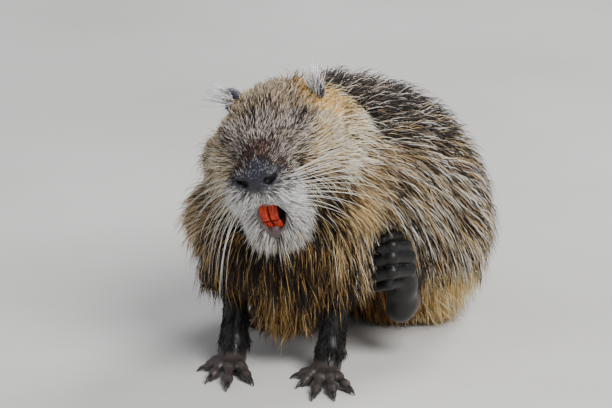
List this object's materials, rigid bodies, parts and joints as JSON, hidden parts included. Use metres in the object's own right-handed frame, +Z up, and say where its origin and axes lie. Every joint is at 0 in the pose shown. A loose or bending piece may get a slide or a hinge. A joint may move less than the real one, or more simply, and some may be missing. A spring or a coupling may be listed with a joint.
{
  "type": "coypu",
  "caption": "Life-size still model of a coypu sitting up on its forefeet and haunches, with one hind foot raised to scratch.",
  "frame": {"origin": "middle of the footprint of the whole model, tail included, on the floor", "axes": "the animal faces -Y, its left side is +X and +Z is up"},
  "size_m": [0.3327, 0.5314, 0.2477],
  "materials": {
    "coat": "coarse, streaky guard hair over dark under-fur",
    "pale_coat": "short dense fur, paler on the muzzle and cheeks",
    "bare_skin": "smooth, dark, slightly glossy skin",
    "scaly_skin": "scaly skin with sparse short hairs",
    "ear_skin": "thin dark skin",
    "cornea": "wet and black",
    "enamel": "glossy orange-red",
    "claw": "dark horn"
  },
  "bodies": {
    "root": {"head": "pale_coat", "neck": "coat", "trunk": "coat", "tail": "scaly_skin", "ear_right": "ear_skin", "ear_left": "ear_skin", "eye_right": "cornea", "eyelids_left": "bare_skin", "incisor_upper_right": "enamel", "incisor_lower_right": "enamel", "incisor_upper_left": "enamel", "incisor_lower_left": "enamel", "leg_front_right": "coat", "foot_front_right": "bare_skin", "claw_front_right_1": "claw", "claw_front_right_2": "claw", "claw_front_right_3": "claw", "claw_front_right_4": "claw", "claw_front_right_5": "claw", "leg_front_left": "coat", "foot_front_left": "bare_skin", "claw_front_left_1": "claw", "claw_front_left_2": "claw", "claw_front_left_3": "claw", "claw_front_left_4": "claw", "claw_front_left_5": "claw", "leg_hind_right": "coat", "foot_hind_right": "bare_skin", "claw_hind_right_1": "claw", "claw_hind_right_2": "claw", "claw_hind_right_3": "claw", "claw_hind_right_4": "claw", "claw_hind_right_5": "claw", "leg_hind_left": "coat", "foot_hind_left": "bare_skin", "claw_hind_left_1": "claw", "claw_hind_left_2": "claw", "claw_hind_left_3": "claw", "claw_hind_left_4": "claw", "claw_hind_left_5": "claw"}
  },
  "joints": []
}
